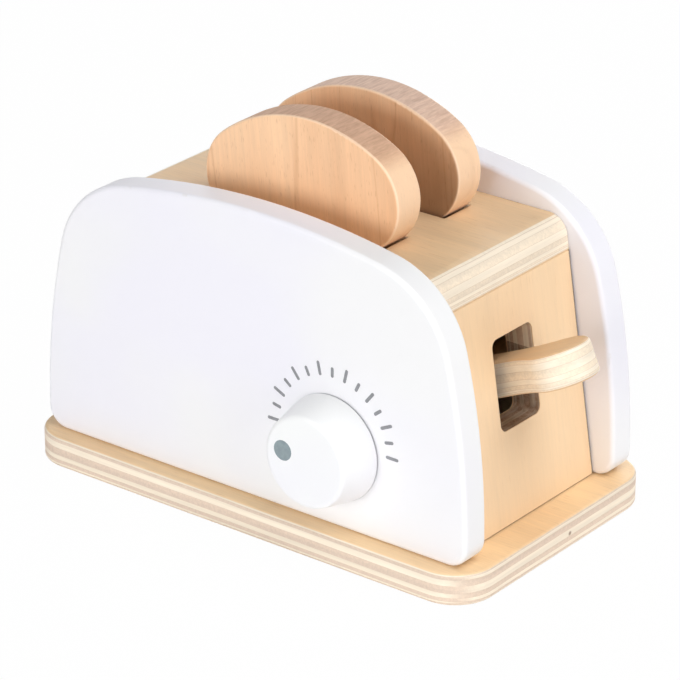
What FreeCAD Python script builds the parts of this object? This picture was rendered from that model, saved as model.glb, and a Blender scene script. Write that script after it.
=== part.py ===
import FreeCAD, Part
import math
import os

import Sketcher
from FreeCAD import Placement, Rotation, Vector

# Wooden toy toaster, in millimetres. The origin is the centre of the base's underside, +X points to the
# lever end, -Y to the dial side and +Z up.

# Driving sizes. Lean, tilt and travel angles are in degrees.
SIZES = {
    # base plate
    "base_length": 200.0,
    "base_depth": 115.0,
    "base_thickness": 12.0,
    "base_corner_radius": 16.0,
    "base_edge_round": 1.5,
    # white side panels, and the space between them
    "inner_width": 77.0,
    "panel_thickness": 12.0,
    "panel_length": 190.0,
    "panel_height": 109.5,
    "panel_foot_radius": 8.0,
    "panel_side_radius": 280.0,
    "panel_corner_radius": 38.0,
    "panel_crown_radius": 300.0,
    "panel_edge_round": 1.8,
    # leaning end panels
    "end_foot_span": 173.8,
    "end_thickness": 12.0,
    "end_lean": 8.7,
    # top panel and its toast slots
    "top_drop": 13.0,
    "top_thickness": 12.0,
    "top_end_round": 8.0,
    "slot_length": 79.2,
    "slot_width": 15.4,
    "slot_pitch": 36.6,
    "slot_corner_radius": 0.5,
    "slot_mouth_round": 0.8,
    # toast slices
    "slice_thickness": 13.4,
    "slice_rise": 38.4,
    "crown_width": 85.6,
    "crown_top_radius": 60.8,
    "crown_corner_radius": 19.8,
    "slice_body_width": 59.0,
    "slice_neck_radius": 5.0,
    "slice_foot_radius": 12.0,
    "slice_edge_round": 1.0,
    "slice_shift": 0.1,
    "slice_gap": 0.5,
    "front_slice_lean": 5.7,
    "rear_slice_lean": 4.0,
    # lever, in its own frame from the pivot
    "lever_tilt": 24.5,
    "lever_thickness": 13.0,
    "lever_arm_width": 15.0,
    "lever_paddle_radius": 12.0,
    "lever_paddle_reach": 46.1,
    "lever_neck_radius": 30.0,
    "lever_edge_round": 1.8,
    "pivot_inset": 30.9,
    "pivot_height": 41.5,
    "pivot_diameter": 8.0,
    "pivot_hole_depth": 6.0,
    "spacer_diameter": 14.0,
    # lever slot in the right end panel
    "lever_slot_width": 23.5,
    "lever_slot_length": 34.0,
    "lever_slot_height": 51.0,
    "lever_slot_corner": 3.0,
    # cross bar on the lever's inner arm
    "lift_dowel_diameter": 10.0,
    "lift_dowel_length": 52.0,
    "lift_dowel_reach": 52.8,
    "lift_groove_depth": 2.0,
    # board under the slices, and its guides
    "rest_length": 88.0,
    "rest_width": 64.0,
    "rest_thickness": 9.0,
    "rest_notch_start": 14.0,
    "rest_notch_clearance": 2.5,
    "strip_width": 8.0,
    "strip_depth": 10.0,
    "strip_spacing": 44.0,
    "strip_headroom": 4.0,
    "guide_clearance": 0.5,
    "rest_edge_round": 1.0,
    # dial knob and what holds it
    "knob_offset": 37.7,
    "knob_height": 30.4,
    "knob_base_radius": 20.1,
    "knob_front_radius": 17.0,
    "knob_length": 15.5,
    "knob_front_round": 1.8,
    "knob_back_round": 0.6,
    "knob_spacer_radius": 18.0,
    "knob_spacer_thickness": 0.4,
    "knob_screw_diameter": 4.0,
    "knob_screw_bite": 10.0,
    "knob_head_diameter": 8.0,
    "knob_head_thickness": 2.6,
    "drive_radius": 1.6,
    "drive_depth": 1.5,
    "knob_washer_radius": 6.5,
    "knob_washer_thickness": 1.0,
    # glue dowels and base screws
    "dowel_diameter": 6.0,
    "dowel_panel_depth": 8.0,
    "dowel_edge_depth": 14.0,
    "dowel_low_height": 18.0,
    "dowel_high_height": 70.0,
    "top_dowel_inset": 20.0,
    "screw_diameter": 3.5,
    "screw_head_diameter": 7.0,
    "screw_length": 25.0,
    "screw_point_length": 5.0,
    "end_screw_spacing": 44.0,
    "panel_screw_spacing": 110.0,
    # small chamfers where plywood pieces meet
    "joint_chamfer": 0.6,
    # clearances
    "running_clearance": 0.06,
    "face_gap": 0.1,
    "rest_gap": 0.3,
    "side_gap": 0.3,
}

doc = FreeCAD.newDocument("toy_toaster")


class Size:
    """A number together with the sheet formula that gives it, so that both come from one expression."""

    def __init__(self, number, formula):
        self.number = float(number)
        self.formula = formula

    def joined(self, other, sign, number, swapped=False):
        first, second = (as_size(other), self) if swapped else (self, as_size(other))
        return Size(number, f"({first.formula} {sign} {second.formula})")

    def __add__(self, other):
        return self.joined(other, "+", self.number + as_size(other).number)

    def __radd__(self, other):
        return self.joined(other, "+", as_size(other).number + self.number, True)

    def __sub__(self, other):
        return self.joined(other, "-", self.number - as_size(other).number)

    def __rsub__(self, other):
        return self.joined(other, "-", as_size(other).number - self.number, True)

    def __mul__(self, other):
        return self.joined(other, "*", self.number * as_size(other).number)

    def __rmul__(self, other):
        return self.joined(other, "*", as_size(other).number * self.number, True)

    def __truediv__(self, other):
        return self.joined(other, "/", self.number / as_size(other).number)

    def __neg__(self):
        return Size(-self.number, f"(0 - {self.formula})")

    def __float__(self):
        return self.number


def as_size(value):
    if isinstance(value, Size):
        return value
    return Size(value, f"({value})")


def sine(angle):
    return Size(math.sin(math.radians(angle.number)), f"sin({angle.formula})")


def cosine(angle):
    return Size(math.cos(math.radians(angle.number)), f"cos({angle.formula})")


def tangent(angle):
    return Size(math.tan(math.radians(angle.number)), f"tan({angle.formula})")


def root(square):
    return Size(math.sqrt(square.number), f"sqrt({square.formula})")


def write_sheet():
    """Puts each driving size in a sheet cell with its own alias, and returns them all by name."""
    sheet = doc.addObject("Spreadsheet::Sheet", "Sizes")
    named = {}
    for row, (name, number) in enumerate(SIZES.items(), start=1):
        sheet.set(f"A{row}", name)
        sheet.set(f"B{row}", str(number))
        sheet.setAlias(f"B{row}", name)
        named[name] = Size(number, f"Sizes.{name}")
    doc.recompute()
    return named


class Named:
    """The sheet's sizes as attributes, such as size.base_length."""

    def __init__(self, values):
        self.__dict__.update(values)


size = Named(write_sheet())
ZERO = as_size(0)


def bind(item, name, value):
    """Sets one of an object's properties, or a named constraint, to a formula on the sheet."""
    item.setExpression(name, as_size(value).formula)


def place(item, x=0, y=0, z=0, axis=None, angle=0):
    """Gives an object its place and turn, bound to the sheet."""
    where = [as_size(value) for value in (x, y, z)]
    corner = Vector(*(value.number for value in where))
    turn = Rotation(axis, as_size(angle).number) if axis else Rotation()
    item.Placement = Placement(corner, turn)
    for letter, value in zip("xyz", where):
        bind(item, f"Placement.Base.{letter}", value)
    if isinstance(angle, Size):
        bind(item, "Placement.Rotation.Angle", angle)


def new_body(name):
    body = doc.addObject("PartDesign::Body", name)
    body.Label = name
    return body


def new_sketch(body, plane, name, height=ZERO):
    """Adds a sketch on one of the body's own origin planes, or parallel to it at a height."""
    support = next(item for item in body.Origin.OriginFeatures if item.Role == f"{plane}_Plane")
    sketch = body.newObject("Sketcher::SketchObject", name)
    sketch.AttachmentSupport = [(support, "")]
    sketch.MapMode = "FlatFace"
    if as_size(height).number:
        sketch.AttachmentOffset = Placement(Vector(0, 0, as_size(height).number), Rotation())
        bind(sketch, "AttachmentOffset.Base.z", height)
    return sketch


def constrain(sketch, kind, *arguments):
    """Adds a dimension whose last argument is a Size, and binds it to the sheet."""
    value = as_size(arguments[-1])
    index = sketch.addConstraint(Sketcher.Constraint(kind, *arguments[:-1], value.number))
    name = f"size{index}"
    sketch.renameConstraint(index, name)
    bind(sketch, f"Constraints.{name}", value)


def draw_circle(sketch, x, y, radius):
    centre = Vector(as_size(x).number, as_size(y).number, 0)
    circle = Part.Circle(centre, Vector(0, 0, 1), as_size(radius).number)
    index = sketch.addGeometry(circle, False)
    constrain(sketch, "DistanceX", -1, 1, index, 3, x)
    constrain(sketch, "DistanceY", -1, 1, index, 3, y)
    constrain(sketch, "Radius", index, radius)


def arc_between(start, end, radius):
    """The shorter arc from start to end; a positive radius turns left, a negative one right."""
    chord = end - start
    middle = (start + end) * 0.5
    left = Vector(-chord.y, chord.x, 0).normalize()
    height = math.sqrt(max(radius * radius - chord.Length * chord.Length / 4, 0))
    centre = middle + left * math.copysign(height, radius)
    first, last = (start, end) if radius > 0 else (end, start)
    low = math.atan2(first.y - centre.y, first.x - centre.x)
    high = math.atan2(last.y - centre.y, last.x - centre.x)
    circle = Part.Circle(centre, Vector(0, 0, 1), abs(radius))
    return Part.ArcOfCircle(circle, low, high if high > low else high + 2 * math.pi)


def draw_outline(sketch, corners):
    """Draws a closed outline. Each corner is (x, y) or (x, y, radius of the arc that leaves it)."""
    points = [Vector(as_size(c[0]).number, as_size(c[1]).number, 0) for c in corners]
    ends = []
    for number, corner in enumerate(corners):
        start = points[number]
        end = points[(number + 1) % len(points)]
        if len(corner) == 2:
            index = sketch.addGeometry(Part.LineSegment(start, end), False)
            ends.append((index, 1, 2))
        else:
            radius = as_size(corner[2])
            index = sketch.addGeometry(arc_between(start, end, radius.number), False)
            ends.append((index, 1, 2) if radius.number > 0 else (index, 2, 1))
            constrain(sketch, "Radius", index, radius if radius.number > 0 else -radius)
    for number, (index, start, _) in enumerate(ends):
        before, _, end = ends[number - 1]
        sketch.addConstraint(Sketcher.Constraint("Coincident", before, end, index, start))
        constrain(sketch, "DistanceX", -1, 1, index, start, corners[number][0])
        constrain(sketch, "DistanceY", -1, 1, index, start, corners[number][1])


def draw_rectangle(sketch, low_x, low_y, high_x, high_y, radius=None):
    """Draws a rectangle, with round corners where a radius is given."""
    if radius is None:
        draw_outline(sketch, [(low_x, low_y), (high_x, low_y), (high_x, high_y), (low_x, high_y)])
        return
    corners = [
        (low_x + radius, low_y),
        (high_x - radius, low_y, radius),
        (high_x, low_y + radius),
        (high_x, high_y - radius, radius),
        (high_x - radius, high_y),
        (low_x + radius, high_y, radius),
        (low_x, high_y - radius),
        (low_x, low_y + radius, radius),
    ]
    draw_outline(sketch, corners)


def pad(body, sketch, length, both_ways=False):
    feature = body.newObject("PartDesign::Pad", f"{sketch.Name}_pad")
    feature.Profile = sketch
    feature.SideType = "Symmetric" if both_ways else "One side"
    bind(feature, "Length", length)
    return feature


def pocket(body, sketch, depth=None, reverse=False, both_ways=False):
    """Cuts a sketch out of its body, right through where no depth is given; stops if nothing was cut."""
    doc.recompute()
    before = body.Shape.Volume
    feature = body.newObject("PartDesign::Pocket", f"{sketch.Name}_pocket")
    feature.Profile = sketch
    feature.Reversed = reverse
    feature.SideType = "Symmetric" if both_ways else "One side"
    if depth is None:
        feature.Type = "ThroughAll"
    else:
        bind(feature, "Length", depth)
    doc.recompute()
    if body.Shape.Volume >= before:
        raise ValueError(f"{feature.Name} cuts nothing")
    return feature


def edges_where(body, test):
    """Names the tip's edges along which every sampled point, in the body's own frame, passes the test."""
    doc.recompute()
    names = []
    for number, edge in enumerate(body.Tip.Shape.Edges, start=1):
        points = edge.discretize(Number=7)[1:-1]
        if all(test(point) for point in points):
            names.append(f"Edge{number}")
    if not names:
        raise ValueError(f"{body.Name} has no such edge")
    return names


def round_edges(body, radius, test, kind="Fillet"):
    """Rounds, or chamfers, the edges that pass the test."""
    names = edges_where(body, test)
    tip = body.Tip
    feature = body.newObject(f"PartDesign::{kind}", f"{body.Name}_{kind.lower()}{len(body.Group)}")
    feature.Base = (tip, names)
    bind(feature, "Radius" if kind == "Fillet" else "Size", radius)
    return feature


def near(value, target, tolerance=1e-4):
    return abs(value - as_size(target).number) < tolerance


# Places that several pieces share.
base_top = size.base_thickness
half_inner = size.inner_width / 2
half_outer = half_inner + size.panel_thickness
panel_top = base_top + size.panel_height
top_surface = panel_top - size.top_drop
top_underside = top_surface - size.top_thickness
lean_slope = tangent(size.end_lean)
end_foot = size.end_foot_span / 2
pivot_x = end_foot - size.pivot_inset
pivot_z = base_top + size.pivot_height
knob_z = base_top + size.knob_height
half_slot = size.slot_length / 2
rod_radius = size.screw_diameter / 2


def end_outer_x(z):
    """How far from the middle an end panel's outer face is, at height z."""
    return end_foot - (z - base_top) * lean_slope


def end_middle_x(z):
    """The same for the middle of an end panel's thickness."""
    return end_outer_x(z) - size.end_thickness / (cosine(size.end_lean) * 2)


def dowel_heights():
    return (base_top + size.dowel_low_height, base_top + size.dowel_high_height)


def dowel_spots():
    """Where the end panels' glue dowels lie, as (x, z)."""
    return [(sign * end_middle_x(z), z) for sign in (-1, 1) for z in dowel_heights()]


def top_dowel_spots():
    x = end_outer_x(top_underside) - size.top_dowel_inset
    z = top_underside + size.top_thickness / 2
    return [(sign * x, z) for sign in (-1, 1)]


def screw_spots():
    """Where the base screws stand, as (x, y): two in each end panel and two in each side panel."""
    end_x = end_middle_x(base_top + size.screw_length / 4)
    side_y = half_inner + size.panel_thickness / 2
    ends = [(a * end_x, b * size.end_screw_spacing / 2) for a in (-1, 1) for b in (-1, 1)]
    sides = [(a * size.panel_screw_spacing / 2, b * side_y) for a in (-1, 1) for b in (-1, 1)]
    return ends + sides


def screw_sink():
    """Depth of a base screw's countersunk head."""
    return (size.screw_head_diameter - size.screw_diameter) / 2


def make_base_plate():
    body = new_body("base_plate")
    outline = new_sketch(body, "XY", "base_outline")
    x = size.base_length / 2
    y = size.base_depth / 2
    draw_rectangle(outline, -x, -y, x, y, size.base_corner_radius)
    pad(body, outline, size.base_thickness)
    round_edges(body, size.base_edge_round, lambda p: near(p.z, base_top) or near(p.z, 0))
    holes = new_sketch(body, "XY", "base_screw_holes")
    for x, y in screw_spots():
        draw_circle(holes, x, y, rod_radius)
    pocket(body, holes, size.base_thickness, reverse=True)
    reach = size.base_length / 2 - size.base_edge_round

    def hole_mouth(p):
        inside = any(
            near(math.hypot(p.x - float(x), p.y - float(y)), rod_radius) for x, y in screw_spots()
        )
        return near(p.z, 0) and inside and abs(p.x) < float(reach)

    round_edges(body, screw_sink(), hole_mouth, "Chamfer")
    return body


def panel_outline():
    """The arched outline of a side panel: round feet, long side arcs, tight corners and a flat crown."""
    half = size.panel_length / 2
    foot = size.panel_foot_radius
    bend = base_top + foot
    side_x = half - size.panel_side_radius
    crown_z = panel_top - size.panel_crown_radius
    to_side = size.panel_side_radius - size.panel_corner_radius
    to_crown = size.panel_crown_radius - size.panel_corner_radius
    # The corner's centre lies to_side from the side arc's centre and to_crown from the crown arc's centre.
    step_x = -side_x
    step_z = crown_z - bend
    apart = root(step_x * step_x + step_z * step_z)
    along = (to_side * to_side - to_crown * to_crown + apart * apart) / (apart * 2)
    across = root(to_side * to_side - along * along)
    corner_x = side_x + (step_x * along - step_z * across) / apart
    corner_z = bend + (step_z * along + step_x * across) / apart
    low_x = side_x + (corner_x - side_x) * size.panel_side_radius / to_side
    low_z = bend + (corner_z - bend) * size.panel_side_radius / to_side
    high_x = corner_x * size.panel_crown_radius / to_crown
    high_z = crown_z + (corner_z - crown_z) * size.panel_crown_radius / to_crown
    return [
        (foot - half, base_top),
        (half - foot, base_top, foot),
        (half, bend, size.panel_side_radius),
        (low_x, low_z, size.panel_corner_radius),
        (high_x, high_z, size.panel_crown_radius),
        (-high_x, high_z, size.panel_corner_radius),
        (-low_x, low_z, size.panel_side_radius),
        (-half, bend, foot),
    ]


def side_panel(name, inner_y, outward):
    """A white side panel: outward is -1 for the dial side and 1 for the back."""
    body = new_body(name)
    outline = new_sketch(body, "XZ", f"{name}_outline")
    draw_outline(outline, panel_outline())
    pad(body, outline, size.panel_thickness)
    place(body, y=inner_y if outward < 0 else inner_y + size.panel_thickness)
    round_edges(body, size.panel_edge_round, lambda p: near(p.y, 0) or near(p.y, -size.panel_thickness))
    # Holes for the pivot pin and the glue dowels start at the inner face.
    inside = ZERO if outward < 0 else size.panel_thickness
    pins = new_sketch(body, "XZ", f"{name}_pivot_hole", inside)
    draw_circle(pins, pivot_x, pivot_z, size.pivot_diameter / 2)
    pocket(body, pins, size.pivot_hole_depth, reverse=outward < 0)
    dowels = new_sketch(body, "XZ", f"{name}_dowel_holes", inside)
    for x, z in dowel_spots() + top_dowel_spots():
        draw_circle(dowels, x, z, size.dowel_diameter / 2)
    pocket(body, dowels, size.dowel_panel_depth, reverse=outward < 0)
    screws = new_sketch(body, "XY", f"{name}_screw_holes", base_top)
    for sign in (-1, 1):
        draw_circle(screws, sign * size.panel_screw_spacing / 2, -size.panel_thickness / 2, rod_radius)
    pocket(body, screws, size.screw_length - base_top, reverse=True)
    return body


def make_front_panel():
    body = side_panel("front_panel", -half_inner, -1)
    bore = new_sketch(body, "XZ", "knob_screw_hole")
    draw_circle(bore, size.knob_offset, knob_z, size.knob_screw_diameter / 2 + size.running_clearance)
    pocket(body, bore, size.panel_thickness, reverse=True)
    return body


def end_panel(name, side):
    """A leaning end panel, drawn upright in its own frame, outer face on the YZ plane; side is 1 or -1."""
    body = new_body(name)
    lean = size.end_lean
    length = (top_underside - base_top) / cosine(lean)
    rise = size.end_thickness * lean_slope
    inward = -side * size.end_thickness
    outline = new_sketch(body, "XZ", f"{name}_outline")
    corners = [(ZERO, ZERO), (ZERO, length), (inward, length + rise), (inward, rise)]
    draw_outline(outline, corners)
    pad(body, outline, size.inner_width, both_ways=True)
    round_edges(body, size.joint_chamfer, lambda p: near(p.x, 0), "Chamfer")
    place(body, side * end_foot, 0, base_top, Vector(0, -side, 0), lean)
    for edge in (1, -1):
        holes = new_sketch(body, "XZ", f"{name}_dowel_holes", edge * half_inner)
        for z in dowel_heights():
            along = (z - base_top) / cosine(lean) + rise / 2
            draw_circle(holes, inward / 2, along, size.dowel_diameter / 2)
        pocket(body, holes, size.dowel_edge_depth, reverse=edge < 0)
    # The screw holes are upright although the panel leans.
    screws = new_sketch(body, "XY", f"{name}_screw_holes")
    screws.AttachmentOffset = Placement(Vector(), Rotation(Vector(0, side, 0), lean.number))
    bind(screws, "AttachmentOffset.Rotation.Angle", lean)
    for x, y in screw_spots()[:4]:
        if (x.number > 0) == (side > 0):
            draw_circle(screws, x - side * end_foot, y, rod_radius)
    pocket(body, screws, size.screw_length - base_top, reverse=True)
    return body


def make_right_end_panel():
    body = end_panel("right_end_panel", 1)
    slot = new_sketch(body, "YZ", "lever_slot")
    y = size.lever_slot_width / 2
    low = size.lever_slot_height - size.lever_slot_length / 2
    high = size.lever_slot_height + size.lever_slot_length / 2
    draw_rectangle(slot, -y, low, y, high, size.lever_slot_corner)
    pocket(body, slot)
    return body


def make_top_panel():
    body = new_body("top_panel")
    outline = new_sketch(body, "XZ", "top_panel_outline")
    low_x = end_outer_x(top_underside)
    high_x = end_outer_x(top_surface)
    corners = [(-low_x, ZERO), (low_x, ZERO), (high_x, size.top_thickness), (-high_x, size.top_thickness)]
    draw_outline(outline, corners)
    pad(body, outline, size.inner_width, both_ways=True)
    place(body, 0, 0, top_underside)
    round_edges(body, size.top_end_round, lambda p: near(p.z, size.top_thickness) and near(abs(p.x), high_x))
    round_edges(
        body,
        size.joint_chamfer,
        lambda p: near(p.z, size.top_thickness) and near(abs(p.y), half_inner),
        "Chamfer",
    )
    slots = new_sketch(body, "XY", "toast_slots", size.top_thickness)
    for side in (-1, 1):
        low_y = side * size.slot_pitch / 2 - size.slot_width / 2
        high_y = side * size.slot_pitch / 2 + size.slot_width / 2
        draw_rectangle(slots, -half_slot, low_y, half_slot, high_y, size.slot_corner_radius)
    pocket(body, slots)
    inside_x = float(half_slot) + 1e-4
    inside_y = float(size.slot_pitch / 2 + size.slot_width / 2) + 1e-4
    round_edges(
        body,
        size.slot_mouth_round,
        lambda p: near(p.z, size.top_thickness) and abs(p.x) < inside_x and abs(p.y) < inside_y,
    )
    for edge in (1, -1):
        holes = new_sketch(body, "XZ", "top_dowel_holes", edge * half_inner)
        for x, z in top_dowel_spots():
            draw_circle(holes, x, z - top_underside, size.dowel_diameter / 2)
        pocket(body, holes, size.dowel_edge_depth, reverse=edge < 0)
    return body


def rest_underside():
    """Height of the toast board's underside, just above the lift dowel."""
    return lift_dowel_spot()[1] + size.lift_dowel_diameter / 2 + size.rest_gap


def lift_dowel_spot():
    """Where the lift dowel lies, as (x, z), on top of the lever's inner arm."""
    above = size.lever_thickness / 2 + size.lift_dowel_diameter / 2 - size.lift_groove_depth
    x = pivot_x - size.lift_dowel_reach * cosine(size.lever_tilt) - above * sine(size.lever_tilt)
    z = pivot_z - size.lift_dowel_reach * sine(size.lever_tilt) + above * cosine(size.lever_tilt)
    return x, z


def toast_slice(name, side, lean):
    """A solid slice that stands on the toast board, leans a little and rests near its slot's end."""
    body = new_body(name)
    neck = size.slice_body_width / 2
    stand = rest_underside() + size.rest_thickness + size.rest_gap
    top_z = top_surface - stand + size.slice_rise - size.crown_top_radius
    crown_x = size.crown_width / 2 - size.crown_corner_radius
    reach = size.crown_top_radius - size.crown_corner_radius
    crown_z = top_z + root(reach * reach - crown_x * crown_x)
    # The small neck arc touches the slice's straight side and the crown's corner from outside.
    join = size.crown_corner_radius + size.slice_neck_radius
    join_x = neck + size.slice_neck_radius - crown_x
    neck_z = crown_z - root(join * join - join_x * join_x)
    neck_out = crown_x + join_x * size.crown_corner_radius / join
    neck_high = crown_z + (neck_z - crown_z) * size.crown_corner_radius / join
    top_x = crown_x * size.crown_top_radius / reach
    shoulder = top_z + (crown_z - top_z) * size.crown_top_radius / reach
    foot = size.slice_foot_radius
    right = [
        (neck - foot, ZERO, foot),
        (neck, foot),
        (neck, neck_z, -size.slice_neck_radius),
        (neck_out, neck_high, size.crown_corner_radius),
        (top_x, shoulder, size.crown_top_radius),
    ]
    left = [
        (-top_x, shoulder, size.crown_corner_radius),
        (-neck_out, neck_high, -size.slice_neck_radius),
        (-neck, neck_z),
        (-neck, foot, foot),
        (foot - neck, ZERO),
    ]
    outline = new_sketch(body, "XZ", f"{name}_outline")
    draw_outline(outline, right + left)
    pad(body, outline, size.slice_thickness, both_ways=True)
    half = size.slice_thickness / 2
    round_edges(body, size.slice_edge_round, lambda p: near(abs(p.y), half))
    # Its lowest corner stands just above the board, and its crown is the gap away from the slot's end.
    z = stand + (neck - foot) * sine(lean) + foot * (1 - cosine(lean))
    height = z + crown_x * sine(lean) + crown_z * cosine(lean) - top_surface
    near_end = size.crown_corner_radius + size.slice_gap
    x = half_slot - root(near_end * near_end - height * height)
    x = x - crown_x * cosine(lean) + crown_z * sine(lean)
    place(body, x, side * size.slot_pitch / 2 + size.slice_shift, z, Vector(0, -1, 0), lean)
    return body


def make_lever():
    """The rocker lever, drawn flat along +X from its pivot and then tilted up."""
    body = new_body("lever")
    arm = size.lever_arm_width / 2
    half = size.lever_thickness / 2
    tilt = size.lever_tilt
    reach = (size.pivot_height - size.rest_gap - half * cosine(tilt)) / sine(tilt)
    paddle = size.lever_paddle_radius
    centre = size.lever_paddle_reach
    join = size.lever_neck_radius + paddle
    rise = arm + size.lever_neck_radius
    back = root(join * join - rise * rise)
    touch_x = centre - back * paddle / join
    touch_y = rise * paddle / join
    outline = new_sketch(body, "XY", "lever_outline")
    corners = [
        (-reach, -arm),
        (centre - back, -arm, -size.lever_neck_radius),
        (touch_x, -touch_y, paddle),
        (centre + paddle, ZERO, paddle),
        (touch_x, touch_y, -size.lever_neck_radius),
        (centre - back, arm),
        (-reach, arm),
    ]
    draw_outline(outline, corners)
    pad(body, outline, size.lever_thickness, both_ways=True)
    round_edges(body, size.lever_edge_round, lambda p: near(abs(p.z), half))
    bore = new_sketch(body, "XZ", "lever_pivot_hole")
    draw_circle(bore, 0, 0, size.pivot_diameter / 2 + size.running_clearance)
    pocket(body, bore, both_ways=True)
    groove = new_sketch(body, "XZ", "lift_dowel_groove")
    radius = size.lift_dowel_diameter / 2
    draw_circle(groove, -size.lift_dowel_reach, half + radius - size.lift_groove_depth, radius)
    pocket(body, groove, both_ways=True)
    place(body, pivot_x, 0, pivot_z, Vector(0, -1, 0), tilt)
    return body


def make_toast_rest():
    body = new_body("toast_rest")
    outline = new_sketch(body, "XY", "toast_rest_outline")
    x = size.rest_length / 2
    y = size.rest_width / 2
    strip_x = size.strip_spacing / 2
    strip_half = size.strip_width / 2 + size.guide_clearance
    strip_y = half_inner - size.strip_depth - size.guide_clearance
    notch = size.lever_arm_width / 2 + size.rest_notch_clearance
    right = [
        (-strip_x - strip_half, -y),
        (-strip_x - strip_half, -strip_y),
        (-strip_x + strip_half, -strip_y),
        (-strip_x + strip_half, -y),
        (strip_x - strip_half, -y),
        (strip_x - strip_half, -strip_y),
        (strip_x + strip_half, -strip_y),
        (strip_x + strip_half, -y),
        (x, -y),
        (x, -notch),
        (size.rest_notch_start, -notch),
    ]
    mirrored = [(corner_x, -corner_y) for corner_x, corner_y in reversed(right)]
    draw_outline(outline, [(-x, -y)] + right + mirrored + [(-x, y)])
    pad(body, outline, size.rest_thickness)
    place(body, 0, 0, rest_underside())
    top = size.rest_thickness
    round_edges(body, size.rest_edge_round, lambda p: near(p.z, top) and near(abs(p.x), x))
    return body


def make_dial_knob():
    """The tapered knob: its back is on the XZ plane of its own frame and its front towards -Y."""
    body = new_body("dial_knob")
    profile = new_sketch(body, "XY", "knob_profile")
    length = size.knob_length
    back = [(ZERO, ZERO), (size.knob_base_radius, ZERO)]
    front = [(size.knob_front_radius, -length), (ZERO, -length)]
    draw_outline(profile, back + front)
    turned = body.newObject("PartDesign::Revolution", "knob_turned")
    turned.Profile = profile
    turned.ReferenceAxis = (profile, ["V_Axis"])
    turned.Angle = 360
    round_edges(body, size.knob_front_round, lambda p: near(p.y, -length))
    round_edges(body, size.knob_back_round, lambda p: near(p.y, 0))
    bore = new_sketch(body, "XZ", "knob_screw_bore")
    draw_circle(bore, 0, 0, size.knob_screw_diameter / 2)
    pocket(body, bore, size.knob_screw_bite, reverse=True)
    place(body, size.knob_offset, knob_back(), knob_z)
    return body


def knob_back():
    """Where the knob's back face is, in front of its spacer."""
    return -half_outer - size.knob_spacer_thickness - size.face_gap


def add(kind, name, **values):
    """Adds a simple solid whose sizes are bound to the sheet."""
    item = doc.addObject(f"Part::{kind}", name)
    for key, value in values.items():
        bind(item, key, value)
    return item


def combine(kind, name, items):
    """Cuts the second item from the first, or fuses or groups them all."""
    item = doc.addObject(f"Part::{kind}", name)
    if kind == "Cut":
        item.Base, item.Tool = items
    elif kind == "Compound":
        item.Links = items
    else:
        item.Shapes = items
    return item


QUARTER_TURN = 90
TO_BACK = (Vector(-1, 0, 0), QUARTER_TURN)


def rod_along_y(name, x, y, z, radius, length):
    """A round rod that starts at y and runs towards the back."""
    item = add("Cylinder", name, Radius=radius, Height=length)
    place(item, x, y, z, *TO_BACK)
    return item


def ring_along_y(name, x, y, z, radius, inner_radius, length):
    """A ring or tube that starts at y and runs towards the back."""
    outer = rod_along_y(f"{name}_outer", x, y, z, radius, length)
    inner = rod_along_y(f"{name}_bore", x, y, z, inner_radius, length)
    return combine("Cut", name, (outer, inner))


def make_pivot_parts():
    """The lever's fixed pin, and a spacer tube on each side of the lever."""
    bite = size.pivot_hole_depth
    pin_radius = size.pivot_diameter / 2
    start = -half_inner - bite
    length = size.inner_width + bite * 2
    rod_along_y("lever_pivot_dowel", pivot_x, start, pivot_z, pin_radius, length)
    gap_end = size.lever_arm_width / 2 + size.side_gap
    radius = size.spacer_diameter / 2
    width = half_inner - gap_end
    ring_along_y("pivot_spacer_front", pivot_x, -half_inner, pivot_z, radius, pin_radius, width)
    ring_along_y("pivot_spacer_rear", pivot_x, gap_end, pivot_z, radius, pin_radius, width)
    return ["lever_pivot_dowel", "pivot_spacer_front", "pivot_spacer_rear"]


def make_lift_dowel():
    x, z = lift_dowel_spot()
    length = size.lift_dowel_length
    rod_along_y("lift_dowel", x, -length / 2, z, size.lift_dowel_diameter / 2, length)
    return ["lift_dowel"]


def make_guide_strips():
    """Two upright strips on each side panel, which guide the toast board."""
    height = top_underside - base_top - size.strip_headroom
    width = size.strip_width
    depth = size.strip_depth
    names = []
    for name, y in (("front_guide_strips", -half_inner), ("rear_guide_strips", half_inner - depth)):
        strips = []
        for number, side in enumerate((-1, 1), start=1):
            strip = add("Box", f"{name}_{number}", Length=width, Width=depth, Height=height)
            place(strip, side * size.strip_spacing / 2 - width / 2, y, base_top)
            strips.append(strip)
        combine("Compound", name, strips)
        names.append(name)
    return names


def make_knob_parts():
    """The knob's spacer in front of the panel, and its washer and screw inside."""
    x = size.knob_offset
    z = knob_z
    shank = size.knob_screw_diameter / 2
    bore = shank + size.running_clearance
    spacer_y = -half_outer - size.knob_spacer_thickness
    ring_along_y("knob_spacer", x, spacer_y, z, size.knob_spacer_radius, bore, size.knob_spacer_thickness)
    washer = size.knob_washer_thickness
    ring_along_y("knob_washer", x, -half_inner, z, size.knob_washer_radius, bore, washer)
    start = knob_back() - size.knob_screw_bite
    head_y = -half_inner + washer + size.face_gap
    rod = rod_along_y("knob_screw_shank", x, start, z, shank, head_y - start)
    head_radius = size.knob_head_diameter / 2
    head = rod_along_y("knob_screw_head", x, head_y, z, head_radius, size.knob_head_thickness)
    solid = combine("MultiFuse", "knob_screw_solid", [rod, head])
    drive = add("Prism", "knob_screw_drive", Circumradius=size.drive_radius, Height=size.drive_depth)
    place(drive, x, head_y + size.knob_head_thickness - size.drive_depth, z, *TO_BACK)
    combine("Cut", "knob_screw", (solid, drive))
    return ["knob_spacer", "knob_washer", "knob_screw"]


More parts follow.
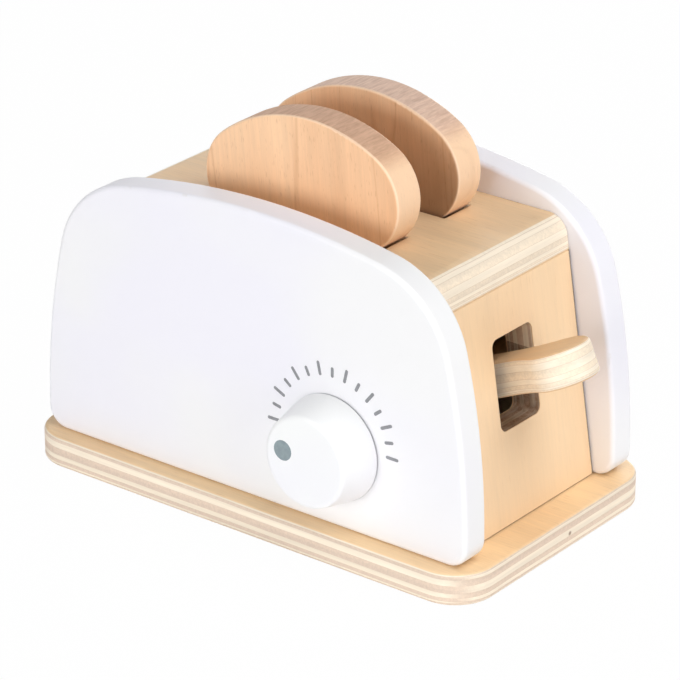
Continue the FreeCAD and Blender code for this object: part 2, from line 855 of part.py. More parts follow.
def make_base_screws():
    """Countersunk screws, driven from below through the base into the four walls."""
    screws = []
    sink = screw_sink()
    body_length = size.screw_length - sink - size.screw_point_length
    head_radius = size.screw_head_diameter / 2
    for number, (x, y) in enumerate(screw_spots(), start=1):
        head = add("Cone", f"screw_head_{number}", Radius1=head_radius, Radius2=rod_radius, Height=sink)
        place(head, x, y, 0)
        shank = add("Cylinder", f"screw_shank_{number}", Radius=rod_radius, Height=body_length)
        place(shank, x, y, sink)
        point = add("Cone", f"screw_point_{number}", Radius1=rod_radius, Height=size.screw_point_length)
        point.Radius2 = 0
        place(point, x, y, sink + body_length)
        solid = combine("MultiFuse", f"screw_solid_{number}", [head, shank, point])
        drive = add("Prism", f"screw_drive_{number}", Circumradius=size.drive_radius)
        bind(drive, "Height", size.drive_depth)
        place(drive, x, y, 0)
        screws.append(combine("Cut", f"screw_{number}", (solid, drive)))
    combine("Compound", "base_screws", screws)
    return ["base_screws"]


def make_dowels():
    """Glue dowels from the side panels into the edges of the end panels and the top panel."""
    radius = size.dowel_diameter / 2
    length = size.dowel_panel_depth + size.dowel_edge_depth
    front_y = -half_inner - size.dowel_panel_depth
    rear_y = half_inner - size.dowel_edge_depth
    groups = (
        ("front_panel_dowels", dowel_spots(), (front_y,)),
        ("back_panel_dowels", dowel_spots(), (rear_y,)),
        ("top_panel_dowels", top_dowel_spots(), (front_y, rear_y)),
    )
    for name, spots, starts in groups:
        places = [(x, y, z) for x, z in spots for y in starts]
        dowels = [
            rod_along_y(f"{name}_{number}", x, y, z, radius, length)
            for number, (x, y, z) in enumerate(places, start=1)
        ]
        combine("Compound", name, dowels)
    return [group[0] for group in groups]


def check_all(names):
    """Stops if any object has an error or any sub-part isn't sound."""
    for item in doc.Objects:
        if "Invalid" in item.State or "Error" in item.State:
            raise ValueError(f"{item.Name} did not recompute")
        if item.isDerivedFrom("Sketcher::SketchObject") and not item.FullyConstrained:
            raise ValueError(f"{item.Name} is not fully constrained")
    for name in names:
        shape = doc.getObject(name).Shape
        if shape.isNull() or not shape.isValid():
            raise ValueError(f"{name} is not a sound solid")


def build():
    """Makes every sub-part and returns their names."""
    bodies = [
        make_base_plate(),
        make_front_panel(),
        side_panel("back_panel", half_inner, 1),
        end_panel("left_end_panel", -1),
        make_right_end_panel(),
        make_top_panel(),
        toast_slice("toast_slice_front", -1, size.front_slice_lean),
        toast_slice("toast_slice_rear", 1, size.rear_slice_lean),
        make_lever(),
        make_toast_rest(),
        make_dial_knob(),
    ]
    names = [body.Name for body in bodies]
    names += make_pivot_parts()
    names += make_lift_dowel()
    names += make_guide_strips()
    names += make_knob_parts()
    names += make_base_screws()
    names += make_dowels()
    return names


parts = build()
doc.recompute()
check_all(parts)
os.makedirs("parts", exist_ok=True)
for part_name in parts:
    doc.getObject(part_name).Label = part_name
    doc.getObject(part_name).Shape.exportStep(f"parts/{part_name}.step")
    print(part_name, len(doc.getObject(part_name).Shape.Solids), "solid(s)")
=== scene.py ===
import math

import bmesh
import bpy
from mathutils import Euler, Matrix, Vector


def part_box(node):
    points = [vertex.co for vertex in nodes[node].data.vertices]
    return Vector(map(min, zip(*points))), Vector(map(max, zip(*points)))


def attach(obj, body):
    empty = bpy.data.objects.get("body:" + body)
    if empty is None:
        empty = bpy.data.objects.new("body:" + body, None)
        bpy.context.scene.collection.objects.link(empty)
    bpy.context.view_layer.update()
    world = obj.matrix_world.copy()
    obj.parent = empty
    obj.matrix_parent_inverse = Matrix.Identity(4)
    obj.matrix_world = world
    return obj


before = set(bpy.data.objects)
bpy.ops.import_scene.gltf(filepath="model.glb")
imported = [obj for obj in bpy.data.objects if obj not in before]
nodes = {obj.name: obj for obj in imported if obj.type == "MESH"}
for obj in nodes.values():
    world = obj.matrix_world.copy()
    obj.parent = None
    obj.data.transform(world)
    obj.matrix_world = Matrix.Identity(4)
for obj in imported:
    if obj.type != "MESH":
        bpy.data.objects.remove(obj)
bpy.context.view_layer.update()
MM = 0.001


def srgb(red, green, blue):
    """A colour as written on screen, 0 to 255, turned into the linear values that shaders use."""
    linear = []
    for value in (red, green, blue):
        share = value / 255
        linear.append(share / 12.92 if share <= 0.04045 else ((share + 0.055) / 1.055) ** 2.4)
    return (*linear, 1.0)


class Graph:
    """Builds one material from short calls. Each value is a socket or a number."""

    def __init__(self, name, roughness=0.5, metallic=0.0):
        self.material = bpy.data.materials.new(name)
        self.material.use_nodes = True
        self.tree = self.material.node_tree
        self.tree.nodes.clear()
        self.shader = self.tree.nodes.new("ShaderNodeBsdfPrincipled")
        output = self.tree.nodes.new("ShaderNodeOutputMaterial")
        self.tree.links.new(self.shader.outputs["BSDF"], output.inputs["Surface"])
        self.shader.inputs["Roughness"].default_value = roughness
        self.shader.inputs["Metallic"].default_value = metallic
        coordinates = self.tree.nodes.new("ShaderNodeTexCoord")
        self.point = coordinates.outputs["Object"]
        self.normal = coordinates.outputs["Normal"]

    def put(self, socket, value):
        if isinstance(value, bpy.types.NodeSocket):
            self.tree.links.new(value, socket)
        else:
            socket.default_value = value

    def math(self, operation, first, second=0.0, third=0.0):
        node = self.tree.nodes.new("ShaderNodeMath")
        node.operation = operation
        for socket, value in zip(node.inputs, (first, second, third)):
            self.put(socket, value)
        return node.outputs[0]

    def dot(self, vector, direction):
        node = self.tree.nodes.new("ShaderNodeVectorMath")
        node.operation = "DOT_PRODUCT"
        self.put(node.inputs[0], vector)
        node.inputs[1].default_value = direction
        return node.outputs["Value"]

    def join(self, x, y, z):
        """A vector from three numbers."""
        node = self.tree.nodes.new("ShaderNodeCombineXYZ")
        for socket, value in zip(node.inputs, (x, y, z)):
            self.put(socket, value)
        return node.outputs[0]

    def stretch(self, vector, scale, shift=(0, 0, 0)):
        node = self.tree.nodes.new("ShaderNodeMapping")
        self.put(node.inputs["Vector"], vector)
        node.inputs["Scale"].default_value = scale
        node.inputs["Location"].default_value = shift
        return node.outputs[0]

    def noise(self, vector, scale=(1, 1, 1), detail=2.0, roughness=0.5, distortion=0.0, shift=(0, 0, 0)):
        node = self.tree.nodes.new("ShaderNodeTexNoise")
        self.put(node.inputs["Vector"], self.stretch(vector, scale, shift))
        node.inputs["Scale"].default_value = 1.0
        node.inputs["Detail"].default_value = detail
        node.inputs["Roughness"].default_value = roughness
        node.inputs["Distortion"].default_value = distortion
        return node.outputs["Fac"]

    def between(self, value, low, high, start=0.0, end=1.0):
        """A smooth step from start, where the value is low, to end, where it is high."""
        node = self.tree.nodes.new("ShaderNodeMapRange")
        node.interpolation_type = "SMOOTHSTEP"
        self.put(node.inputs["Value"], value)
        for name, number in (("From Min", low), ("From Max", high), ("To Min", start), ("To Max", end)):
            self.put(node.inputs[name], number)
        return node.outputs[0]

    def mix(self, factor, first, second):
        """The first colour where the factor is 0, the second where it is 1."""
        node = self.tree.nodes.new("ShaderNodeMix")
        node.data_type = "RGBA"
        node.clamp_factor = True
        self.put(node.inputs[0], factor)
        self.put(node.inputs[6], first)
        self.put(node.inputs[7], second)
        return node.outputs[2]

    def blend(self, factor, first, second):
        """The same for plain numbers."""
        node = self.tree.nodes.new("ShaderNodeMix")
        self.put(node.inputs[0], factor)
        self.put(node.inputs[2], first)
        self.put(node.inputs[3], second)
        return node.outputs[0]

    def steps(self, value, edges, width):
        """0, then 1, then 0 and so on, changing at each edge over a narrow width."""
        node = self.tree.nodes.new("ShaderNodeValToRGB")
        ramp = node.color_ramp
        self.put(node.inputs[0], value)
        stops = []
        for number, edge in enumerate(edges):
            stops += [(edge - width, number % 2), (edge + width, (number + 1) % 2)]
        ramp.elements[0].position, ramp.elements[1].position = stops[0][0], stops[-1][0]
        for position, _ in stops[1:-1]:
            ramp.elements.new(position)
        for element, (_, level) in zip(ramp.elements, stops):
            element.color = (level, level, level, 1)
        return node.outputs[0]

    def shade(self, colour, amount):
        """Scales a colour by a number that varies over the surface."""
        node = self.tree.nodes.new("ShaderNodeHueSaturation")
        self.put(node.inputs["Value"], amount)
        self.put(node.inputs["Color"], colour)
        return node.outputs[0]

    def side_and_height(self):
        """How far a point lies from the middle, front or back, and how high it is."""
        return self.math("ABSOLUTE", self.dot(self.point, (0, 1, 0))), self.dot(self.point, (0, 0, 1))

    def bump(self, height, distance):
        node = self.tree.nodes.new("ShaderNodeBump")
        node.inputs["Strength"].default_value = 1.0
        node.inputs["Distance"].default_value = distance
        self.put(node.inputs["Height"], height)
        self.put(self.shader.inputs["Normal"], node.outputs[0])

    def finish(self, colour, roughness=None):
        self.put(self.shader.inputs["Base Color"], colour)
        if roughness is not None:
            self.put(self.shader.inputs["Roughness"], roughness)
        return self.material


# Where each ply of a board ends, as a share of its thickness from one face to the other.
PLY_EDGES = (0.05, 0.10, 0.158, 0.267, 0.417, 0.642, 0.842, 0.933)
PLY_EDGE_WIDTH = 0.006

# Sizes of the part that the materials and the printed marks follow.
BOARD = 12 * MM
BASE_TOP = 12 * MM
END_LEAN = math.radians(8.7)
END_FOOT_X = 86.9 * MM
BOX_HALF_WIDTH = 38.5 * MM
TOP_UNDERSIDE = 96.5 * MM
REST_BOARD = 9 * MM
LEVER_BOARD = 13 * MM
LEVER_TILT = math.radians(24.5)
LEVER_PIVOT = Vector((56 * MM, 0, 53.5 * MM))
LEVER_AXIS_DEPTH = 6.5 * MM
LEVER_OPENING = (12.2 * MM, 33.5 * MM, 68.5 * MM)
FRONT_FACE_Y = -50.5 * MM

# Colours that several woods share.
CREAM = srgb(248, 234, 213)
BROWN = srgb(222, 198, 177)
GLUE = srgb(186, 150, 120)
FACE_CLOUD = srgb(233, 190, 146)
FACE_PORE = srgb(186, 138, 92)
SAWN_AND_SHADED_DARK = srgb(112, 78, 50)
KNOT_DARK = srgb(120, 78, 52)
JOINT_SHADE_DARK = srgb(84, 56, 36)
RING_LINE = srgb(205, 148, 100)
RAY_FLECK = srgb(190, 132, 86)
RIM_HIGHLIGHT_AND_WEAR = srgb(255, 228, 200)


def plywood(
    name, stack, start, thickness, grain, face, cream, brown, seed=0.0, figured=1.0, veneer=0.03, knot=None,
    joint=None, opening=None, glue_share=0.35,
):
    """Birch plywood: its plies lie square to the stack direction, with the grain turned in each second one.

    figured scales the contrast of the face's grain, and veneer is the outer ply's share of the thickness.
    joint paints shade: a thin dark line where the board meets its neighbours, standing in for the joint's
    shadow; it takes the half width to the side panels and the height of its foot. opening darkens the cut
    faces of a hole, partly as their sawn tone and partly as painted shade in the hole: its half width, low
    end and high end.
    knot is one small knot: its centre and its radius.
    """
    g = Graph(name, roughness=0.5)
    stack = Vector(stack).normalized()
    grain = Vector(grain).normalized()
    across = stack.cross(grain)
    shift = (seed * 1.7, seed * 2.3, seed * 3.1)
    place = g.join(g.dot(g.point, grain), g.dot(g.point, across), g.dot(g.point, stack))
    waver = g.math("MULTIPLY", g.math("SUBTRACT", g.noise(place, (28, 28, 60), 2, shift=shift), 0.5), 0.05)
    depth = g.math("DIVIDE", g.math("SUBTRACT", g.dot(g.point, stack), start), thickness)
    layer = g.math("ADD", depth, waver)
    turned = g.steps(layer, PLY_EDGES, PLY_EDGE_WIDTH)
    glue = g.math("SUBTRACT", 1.0, g.math("ABSOLUTE", g.math("MULTIPLY_ADD", turned, 2.0, -1.0)))
    end_along = g.math("ABSOLUTE", g.dot(g.normal, grain))
    end_across = g.math("ABSOLUTE", g.dot(g.normal, across))
    end = g.between(g.blend(turned, end_along, end_across), 0.35, 0.85)
    outer = g.math("ABSOLUTE", g.math("MULTIPLY_ADD", depth, 2.0, -1.0))
    outer = g.math("ADD", outer, g.math("MULTIPLY", waver, 0.4))
    facing = g.between(outer, 1.0 - veneer * 2.4, 1.0 - veneer * 1.6)
    fibre_along = g.noise(place, (45, 900, 900), 3, 0.6, shift=shift)
    fibre_across = g.noise(place, (900, 45, 900), 3, 0.6, shift=shift)
    fibre = g.blend(turned, fibre_along, fibre_across)
    speckle = g.noise(place, (1500, 1500, 1500), 3, 0.7, shift=shift)
    tone = g.noise(place, (7, 7, 420), 1, shift=shift)
    figure = g.noise(place, (9, 60, 60), 3, 0.55, 0.6, shift=shift)
    cloud = g.noise(place, (14, 26, 26), 2, 0.5, 0.3, shift=shift)
    pores = g.between(g.noise(place, (130, 1900, 1900), 1, shift=shift), 0.66, 0.74)

    core = g.mix(end, cream, brown)
    core = g.shade(core, g.between(tone, 0.25, 0.75, 0.93, 1.05))
    core = g.shade(core, g.between(fibre, 0.2, 0.8, 0.93, 1.05))
    rough_end = g.math("MULTIPLY", end, g.between(speckle, 0.35, 0.65, -0.045, 0.025))
    core = g.shade(core, g.math("ADD", 1.0, rough_end))
    core = g.mix(g.math("MULTIPLY", glue, glue_share), core, GLUE)
    skin = g.shade(face, g.between(figure, 0.3, 0.7, 1.0 - 0.06 * figured, 1.0 + 0.04 * figured))
    skin = g.mix(g.between(cloud, 0.45, 0.75, 0.0, 0.35 * figured), skin, FACE_CLOUD)
    skin = g.shade(skin, g.between(fibre_along, 0.25, 0.75, 1.0 - 0.05 * figured, 1.0 + 0.03 * figured))
    skin = g.mix(g.math("MULTIPLY", pores, 0.25 * figured), skin, FACE_PORE)
    if opening:
        # Partly the cut faces' darker sawn tone, partly painted shade: the faces inside the hole are
        # darkened as if shaded.
        half, low, high = opening
        side, height = g.side_and_height()
        inside = g.math("LESS_THAN", side, half)
        inside = g.math("MULTIPLY", inside, g.math("GREATER_THAN", height, low))
        inside = g.math("MULTIPLY", inside, g.math("LESS_THAN", height, high))
        cut_face = g.between(g.math("ABSOLUTE", g.dot(g.normal, stack)), 0.5, 0.9, 1.0, 0.0)
        sawn_and_shaded = g.math("MULTIPLY", inside, cut_face)
        sawn_and_shaded = g.math("MULTIPLY", sawn_and_shaded, g.between(fibre, 0.3, 0.7, 0.75, 0.5))
        core = g.mix(sawn_and_shaded, core, SAWN_AND_SHADED_DARK)
    colour = g.mix(facing, core, skin)
    if knot:
        centre, radius = knot
        offset = g.tree.nodes.new("ShaderNodeVectorMath")
        offset.operation = "DISTANCE"
        g.put(offset.inputs[0], g.point)
        offset.inputs[1].default_value = centre
        away = g.math("ADD", offset.outputs["Value"], g.math("MULTIPLY", speckle, radius * 0.6))
        colour = g.mix(g.between(away, radius * 1.6, radius * 0.6, 0.0, 0.8), colour, KNOT_DARK)
    if joint:
        # Painted shade: a thin, uneven dark line along the joints with the side panels and the base, where
        # the joint's shadow falls.
        half, foot = joint
        side, height = g.side_and_height()
        line = g.between(side, half - 1.1 * MM, half - 0.6 * MM)
        line = g.math("MAXIMUM", line, g.between(height, foot + 0.3 * MM, foot + 0.7 * MM, 0.85, 0.0))
        line = g.math("MULTIPLY", line, g.between(speckle, 0.3, 0.7, 0.8, 1.0))
        colour = g.mix(line, colour, JOINT_SHADE_DARK)
    grooves = g.math("MULTIPLY", g.math("ADD", glue, pores), -0.8)
    height = g.math("ADD", g.math("MULTIPLY", fibre, 0.6), grooves)
    height = g.math("ADD", height, g.math("MULTIPLY", g.math("MULTIPLY", speckle, end), 0.6))
    g.bump(height, 0.00006)
    rough = g.between(fibre, 0.2, 0.8, 0.42, 0.56)
    return g.finish(colour, g.blend(end, rough, 0.66))


def solid_wood(name, grain, across, pale, deep, edge, end_pale, end_deep, seed, line=0.5, low=None):
    """Solid wood: streaks and short ray flecks along the grain, and darker, speckled end grain.

    edge tints the faces that look along the across direction, line is the strength of the year rings' lines,
    and low paints shade low down on the face towards -Y: where it starts and stops along the grain, and its
    share of light.
    """
    g = Graph(name, roughness=0.5)
    grain = Vector(grain).normalized()
    across = Vector(across).normalized()
    shift = (seed * 1.3, seed * 2.9, seed * 1.9)
    place = g.join(g.dot(g.point, grain), g.dot(g.point, across), g.dot(g.point, grain.cross(across)))
    end = g.between(g.math("ABSOLUTE", g.dot(g.normal, grain)), 0.5, 0.96)
    streak = g.noise(place, (5, 120, 70), 3, 0.55, 0.25, shift=shift)
    band = g.noise(place, (3, 34, 20), 2, 0.5, 0.2, shift=shift)
    ring = g.noise(place, (4, 62, 12), 1, 0.5, 0.15, shift=shift)
    ring = g.between(g.math("ABSOLUTE", g.math("SUBTRACT", ring, 0.5)), 0.0, 0.014, 1.0, 0.0)
    fibre = g.noise(place, (55, 1100, 1100), 3, 0.65, shift=shift)
    fleck = g.between(g.noise(place, (260, 1700, 1700), 1, shift=shift), 0.64, 0.72)
    speckle = g.noise(place, (60, 850, 130), 3, 0.7, shift=shift)
    cut = g.noise(place, (400, 1300, 40), 3, 0.6, shift=shift)
    flat = g.math("ABSOLUTE", g.dot(g.normal, grain.cross(across)))
    rim = g.math("MULTIPLY", g.between(flat, 0.15, 0.4), g.between(flat, 0.8, 0.97, 1.0, 0.0))

    side = g.mix(g.between(band, 0.3, 0.7), pale, deep)
    side = g.shade(side, g.between(streak, 0.25, 0.75, 0.95, 1.04))
    side = g.shade(side, g.between(fibre, 0.2, 0.8, 0.95, 1.04))
    side = g.mix(g.math("MULTIPLY", ring, line), side, RING_LINE)
    side = g.mix(g.math("MULTIPLY", fleck, 0.28), side, RAY_FLECK)
    tip = g.mix(g.between(speckle, 0.3, 0.7), end_deep, end_pale)
    tip = g.shade(tip, g.between(cut, 0.25, 0.75, 0.92, 1.05))
    tip = g.shade(tip, g.between(band, 0.3, 0.7, 0.95, 1.03))
    side = g.mix(g.between(g.math("ABSOLUTE", g.dot(g.normal, across)), 0.5, 0.9, 0.0, 0.5), side, edge)
    colour = g.mix(end, side, tip)
    # Painted highlight and wear: the rounded rim between the faces is lightened as if lit, and partly rubbed
    # pale.
    colour = g.mix(g.math("MULTIPLY", rim, 0.45), colour, RIM_HIGHLIGHT_AND_WEAR)
    if low:
        # Painted shade: the face towards -Y grows darker low down along the grain.
        start, stop, amount = low
        painted_shade = g.between(g.dot(g.point, grain), start, stop, amount, 1.0)
        forward = g.dot(g.normal, (0, -1, 0))
        colour = g.shade(colour, g.blend(g.between(forward, 0.6, 0.95), 1.0, painted_shade))
    height = g.math("SUBTRACT", g.math("MULTIPLY", fibre, 0.7), g.math("MULTIPLY", fleck, 0.7))
    height = g.math("ADD", height, g.math("MULTIPLY", g.math("MULTIPLY", speckle, end), 0.8))
    g.bump(height, 0.00006)
    return g.finish(colour, g.blend(end, g.between(fibre, 0.2, 0.8, 0.42, 0.55), 0.68))


def paint(name, colour, worn, seed=0.0, roughness=0.45):
    """Sprayed matt paint: a fine skin, faint clouds, and a little wear where an edge is rounded."""
    g = Graph(name, roughness=roughness)
    shift = (seed, seed * 2, seed * 3)
    cloud = g.noise(g.point, (11, 11, 11), 2, shift=shift)
    skin = g.noise(g.point, (850, 850, 850), 2, 0.6, shift=shift)
    broad = g.noise(g.point, (95, 95, 95), 2, 0.5, shift=shift)
    flat = g.math("ABSOLUTE", g.dot(g.normal, (0, 1, 0)))
    edge = g.math("MULTIPLY", g.between(flat, 0.25, 0.5), g.between(flat, 0.75, 0.95, 1.0, 0.0))
    patches = g.noise(g.point, (160, 160, 160), 3, 0.6, shift=shift)
    rub = g.math("MULTIPLY", edge, g.between(patches, 0.6, 0.72))
    tinted = g.mix(g.between(cloud, 0.35, 0.65), colour, srgb(239, 238, 246))
    tinted = g.mix(g.math("MULTIPLY", rub, 0.3), tinted, worn)
    g.bump(g.math("ADD", g.math("MULTIPLY", skin, 0.35), broad), 0.00005)
    return g.finish(tinted, g.between(skin, 0.3, 0.7, roughness - 0.04, roughness + 0.05))


def ink(name, colour):
    """Printed ink: thin, a little uneven, with tiny gaps."""
    g = Graph(name, roughness=0.6)
    grain = g.noise(g.point, (2600, 2600, 2600), 2, 0.6)
    patch = g.noise(g.point, (500, 500, 500), 2, 0.6)
    tinted = g.shade(colour, g.between(patch, 0.3, 0.7, 0.92, 1.08))
    tinted = g.mix(g.between(grain, 0.66, 0.74, 0.0, 0.3), tinted, srgb(215, 217, 218))
    g.bump(grain, 0.00002)
    return g.finish(tinted, g.between(grain, 0.3, 0.7, 0.55, 0.7))


def metal(name):
    """Zinc plated steel with fine turning marks and dull patches."""
    g = Graph(name, roughness=0.35, metallic=1.0)
    marks = g.noise(g.point, (300, 300, 4000), 2, 0.6)
    patch = g.noise(g.point, (400, 400, 400), 3, 0.6)
    tinted = g.mix(g.between(patch, 0.3, 0.7), srgb(196, 198, 202), srgb(168, 170, 174))
    g.bump(g.math("ADD", marks, patch), 0.00003)
    return g.finish(tinted, g.between(patch, 0.3, 0.7, 0.28, 0.45))


def fibre_board(name):
    """Grey pressed fibre of a thin washer."""
    g = Graph(name, roughness=0.8)
    hairs = g.noise(g.point, (1400, 300, 1400), 3, 0.7)
    tinted = g.mix(g.between(hairs, 0.35, 0.65), srgb(112, 110, 108), srgb(140, 138, 136))
    g.bump(hairs, 0.00008)
    return g.finish(tinted, g.between(hairs, 0.3, 0.7, 0.72, 0.9))


def end_board(name, side, seed, opening=None):
    """Plywood for an end panel, which leans inward; side is 1 at the lever's end and -1 at the other."""
    outward = Vector((side * math.cos(END_LEAN), 0, math.sin(END_LEAN)))
    start = outward.dot(Vector((side * END_FOOT_X, 0, BASE_TOP))) - BOARD
    upward = Vector((-side * math.sin(END_LEAN), 0, math.cos(END_LEAN)))
    face = srgb(246, 214, 174)
    return plywood(
        name, outward, start, BOARD, upward, face, CREAM, BROWN, seed, figured=0.45,
        joint=(BOX_HALF_WIDTH, BASE_TOP), opening=opening,
    )


def lever_board():
    """Plywood for the lever, which is tilted up at rest."""
    upward = Vector((-math.sin(LEVER_TILT), 0, math.cos(LEVER_TILT)))
    along = Vector((math.cos(LEVER_TILT), 0, math.sin(LEVER_TILT)))
    start = upward.dot(LEVER_PIVOT) - LEVER_AXIS_DEPTH
    face = srgb(228, 190, 146)
    cream = srgb(250, 236, 215)
    brown = srgb(247, 230, 206)
    return plywood(
        "lever_plywood", upward, start, LEVER_BOARD, along, face, cream, brown, 6.0,
        veneer=0.05, glue_share=0.65,
    )


def dress(material, *names):
    """Gives one material to each named node."""
    for name in names:
        mesh = nodes[name].data
        mesh.materials.clear()
        mesh.materials.append(material)


UP = (0, 0, 1)
LENGTHWISE = (1, 0, 0)
small_knot = (Vector((100 * MM, 5 * MM, 6 * MM)), 0.9 * MM)
base_wood = plywood(
    "base_plywood", UP, 0, BOARD, LENGTHWISE, srgb(248, 214, 168), CREAM, srgb(229, 207, 187), 1.0,
    knot=small_knot,
)
top_wood = plywood(
    "top_plywood", UP, TOP_UNDERSIDE, BOARD, LENGTHWISE, srgb(230, 199, 159), CREAM, srgb(243, 226, 203),
    2.0, glue_share=0.65,
)
dress(base_wood, "base_plate")
dress(top_wood, "top_panel")
dress(end_board("left_end_plywood", -1, 3.0), "left_end_panel")
dress(end_board("right_end_plywood", 1, 4.0, LEVER_OPENING), "right_end_panel")
dress(lever_board(), "lever")
rest_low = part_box("toast_rest")[0].z
rest_wood = plywood(
    "rest_plywood", UP, rest_low, REST_BOARD, LENGTHWISE, srgb(238, 204, 160), CREAM, BROWN, 5.0
)
dress(rest_wood, "toast_rest")

# Each slice: its node, its lean in degrees, its seed, its end grain's two colours and its painted shade low
# down.
# The rear slice has painted shade low down on the face towards the front slice, where the gap between the
# slices is shaded.
REAR_PAINTED_SHADE = (108 * MM, 144 * MM, 0.46)
SLICES = (
    ("toast_slice_front", 5.7, 7.0, srgb(215, 174, 145), srgb(193, 152, 124), None),
    ("toast_slice_rear", 4.0, 8.5, srgb(232, 201, 180), srgb(209, 174, 154), REAR_PAINTED_SHADE),
)
for name, lean, seed, end_pale, end_deep, low in SLICES:
    turn = math.radians(lean)
    along = Vector((-math.sin(turn), 0, math.cos(turn)))
    across = Vector((math.cos(turn), 0, math.sin(turn)))
    beech = solid_wood(
        name + "_beech", along, across, srgb(251, 209, 168), srgb(240, 190, 146), srgb(254, 226, 194),
        end_pale, end_deep, seed, line=0.3, low=low,
    )
    dress(beech, name)

dowel_wood = solid_wood(
    "dowel_beech", (0, 1, 0), LENGTHWISE, srgb(240, 206, 166), srgb(230, 190, 146), srgb(240, 206, 166),
    srgb(214, 176, 138), srgb(188, 148, 112), 9.0,
)
strip_wood = solid_wood(
    "strip_pine", UP, LENGTHWISE, srgb(243, 214, 172), srgb(234, 196, 148), srgb(243, 214, 172),
    srgb(220, 184, 142), srgb(200, 162, 120), 10.0,
)
dress(dowel_wood, "lever_pivot_dowel", "pivot_spacer_front", "pivot_spacer_rear", "lift_dowel")
dress(dowel_wood, "front_panel_dowels", "back_panel_dowels", "top_panel_dowels")
dress(strip_wood, "front_guide_strips", "rear_guide_strips")
worn_white = srgb(214, 208, 200)
# One white paint on both panels; the back panel's is written lighter, painted light that lifts its inner
# face where the slices shade it.
dress(paint("front_paint", srgb(242, 242, 243), worn_white, 1.0), "front_panel")
dress(paint("back_paint", srgb(249, 249, 250), worn_white, 2.0), "back_panel")
dress(paint("knob_paint", srgb(244, 245, 245), srgb(222, 218, 212), 3.0, 0.4), "dial_knob")
dress(metal("zinc_steel"), "base_screws", "knob_screw", "knob_washer")
dress(fibre_board("washer_fibre"), "knob_spacer")


# The rings of a printed mark's edge: each one's inset in millimetres and its share of the ink's thickness.
INK_RINGS = ((0.0, 0.0), (0.0, 0.6), (0.06, 1.0))
INK_THICKNESS = 0.05 * MM


def print_shape(mesh, outline, origin):
    """Adds one printed shape to a mesh: a flat outline facing -Y, with a slightly rolled edge."""
    rings = []
    count = len(outline)
    centre = Vector((sum(x for x, _ in outline) / count, 0, sum(z for _, z in outline) / count))
    for inset, height in INK_RINGS:
        ring = []
        for x, z in outline:
            point = Vector((x, 0, z))
            point += (centre - point).normalized() * inset * MM
            ring.append(mesh.verts.new(origin + point + Vector((0, -INK_THICKNESS * height, 0))))
        rings.append(ring)
    for low, high in zip(rings, rings[1:]):
        for number in range(count):
            following = (number + 1) % count
            mesh.faces.new((low[number], low[following], high[following], high[number]))
    mesh.faces.new(rings[-1])
    mesh.faces.new(list(reversed(rings[0])))


def capsule(inner, outer, half_width, angle, steps=8):
    """A short radial bar with round ends, as points (x, z) about the dial's centre."""
    outline = []
    for end, turn in ((outer - half_width, -90), (inner + half_width, 90)):
        for step in range(steps + 1):
            a = math.radians(turn + 180 * step / steps)
            outline.append((end + half_width * math.cos(a), half_width * math.sin(a)))
    c, s = math.cos(angle), math.sin(angle)
    return [(x * c - z * s, x * s + z * c) for x, z in outline]


def add_print(name, shapes, origin, material, body):
    """Makes one printed piece that moves with a body."""
    mesh = bmesh.new()
    for outline in shapes:
        print_shape(mesh, outline, origin)
    bmesh.ops.recalc_face_normals(mesh, faces=mesh.faces)
    data = bpy.data.meshes.new(name)
    mesh.to_mesh(data)
    mesh.free()
    data.materials.append(material)
    piece = bpy.data.objects.new(name, data)
    bpy.context.scene.collection.objects.link(piece)
    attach(piece, body)


# The dial scale, a half circle of long and short marks a little above the knob's axis.
TICKS = 15
TICK_INNER = 23.2 * MM
TICK_LONG = 28.6 * MM
TICK_SHORT = 27.1 * MM
TICK_HALF_WIDTH = 0.62 * MM
scale_centre = Vector((37.6 * MM, FRONT_FACE_Y, 45.6 * MM))
shapes = []
for number in range(TICKS):
    reach = TICK_LONG if number % 2 == 0 else TICK_SHORT
    angle = math.pi * number / (TICKS - 1)
    shapes.append(capsule(TICK_INNER, reach, TICK_HALF_WIDTH, angle))
dial_ink = ink("dial_ink", srgb(140, 141, 145))
add_print("dial_ticks", shapes, scale_centre, dial_ink, "housing")

# The dot stands near the knob's left edge, on its flat face.
DOT_RADIUS = 3.8 * MM
DOT_POINTS = 48
turns = [math.tau * number / DOT_POINTS for number in range(DOT_POINTS)]
dot = [(DOT_RADIUS * math.cos(turn), DOT_RADIUS * math.sin(turn)) for turn in turns]
dot_ink = ink("dot_ink", srgb(136, 150, 155))
dot_place = Vector((28.4 * MM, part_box("dial_knob")[0].y, 44.5 * MM))
add_print("knob_dot", [dot], dot_place, dot_ink, "dial_knob")


def camera_share(tree):
    """1 for rays that the camera, a mirror or glass sends, 0 for light that reaches a surface."""
    path = tree.nodes.new("ShaderNodeLightPath")
    total = path.outputs["Is Camera Ray"]
    for name in ("Is Glossy Ray", "Is Transmission Ray"):
        node = tree.nodes.new("ShaderNodeMath")
        node.operation = "MAXIMUM"
        tree.links.new(total, node.inputs[0])
        tree.links.new(path.outputs[name], node.inputs[1])
        total = node.outputs[0]
    return total


def make_world(level):
    """A white backdrop that lights the object at the given level only."""
    world = bpy.data.worlds.new("studio")
    bpy.context.scene.world = world
    world.use_nodes = True
    tree = world.node_tree
    background = tree.nodes["Background"]
    background.inputs["Color"].default_value = (1, 1, 1, 1)
    node = tree.nodes.new("ShaderNodeMath")
    node.operation = "MULTIPLY_ADD"
    tree.links.new(camera_share(tree), node.inputs[0])
    node.inputs[1].default_value = 1.0 - level
    node.inputs[2].default_value = level
    tree.links.new(node.outputs[0], background.inputs["Strength"])


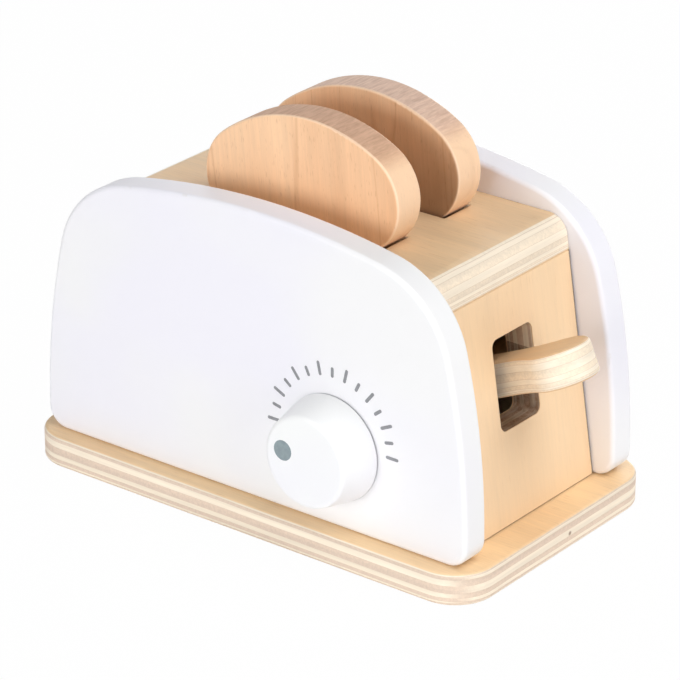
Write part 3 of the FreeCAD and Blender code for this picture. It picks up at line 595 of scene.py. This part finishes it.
def make_floor(size, drop, glow_share):
    """A pale floor just under the base, which shows mostly as white and keeps a faint shadow."""
    bpy.ops.mesh.primitive_plane_add(size=size, location=(0, 0, -drop))
    floor = bpy.context.object
    floor.name = "floor"
    material = bpy.data.materials.new("floor_white")
    material.use_nodes = True
    tree = material.node_tree
    shader = tree.nodes["Principled BSDF"]
    shader.inputs["Base Color"].default_value = (0.9, 0.9, 0.9, 1)
    shader.inputs["Roughness"].default_value = 0.9
    glow = tree.nodes.new("ShaderNodeEmission")
    glow.inputs["Color"].default_value = (1, 1, 1, 1)
    glow.inputs["Strength"].default_value = 1.0
    mixed = tree.nodes.new("ShaderNodeMixShader")
    share = tree.nodes.new("ShaderNodeMath")
    share.operation = "MULTIPLY"
    tree.links.new(camera_share(tree), share.inputs[0])
    share.inputs[1].default_value = glow_share
    tree.links.new(share.outputs[0], mixed.inputs[0])
    tree.links.new(shader.outputs[0], mixed.inputs[1])
    tree.links.new(glow.outputs[0], mixed.inputs[2])
    tree.links.new(mixed.outputs[0], tree.nodes["Material Output"].inputs["Surface"])
    floor.data.materials.append(material)


def add_lamp(name, place, width, height, power):
    """A soft lamp that looks at the object's middle, with its power in watts."""
    data = bpy.data.lights.new(name, "AREA")
    data.shape = "RECTANGLE"
    data.size = width
    data.size_y = height
    data.energy = power
    lamp = bpy.data.objects.new(name, data)
    lamp.location = place
    lamp.rotation_euler = (OBJECT_MIDDLE - Vector(place)).to_track_quat("-Z", "Y").to_euler()
    bpy.context.scene.collection.objects.link(lamp)


OBJECT_MIDDLE = Vector((0, 0, 0.07))
make_world(level=0.13)
make_floor(size=6.0, drop=0.05 * MM, glow_share=0.985)
add_lamp("front_lamp", (0.0, -1.5, 0.33), width=1.2, height=0.66, power=13.0)
add_lamp("right_lamp", (1.45, -0.3, 0.4), width=1.0, height=0.6, power=5.8)
add_lamp("top_lamp", (0.75, 0.1, 1.4), width=1.0, height=1.0, power=14.0)
add_lamp("back_lamp", (-0.6, 1.5, 0.35), width=1.2, height=0.6, power=9.0)

# The camera stands where the photograph was taken from.
FOCAL_PIXELS = 3726.7
IMAGE_PIXELS = 680
SENSOR_WIDTH = 36.0
LOOK_DOWN = 24.5
LOOK_LEFT = 37.92
lens = bpy.data.cameras.new("camera")
lens.sensor_width = SENSOR_WIDTH
lens.lens = FOCAL_PIXELS / IMAGE_PIXELS * SENSOR_WIDTH
lens.clip_start = 0.01
camera = bpy.data.objects.new("camera", lens)
camera.location = (750.39 * MM, -961.15 * MM, 610.01 * MM)
camera.rotation_euler = Euler((math.radians(90 - LOOK_DOWN), 0, math.radians(LOOK_LEFT)))
bpy.context.scene.collection.objects.link(camera)
bpy.context.scene.camera = camera
bpy.context.scene.view_settings.view_transform = "Standard"
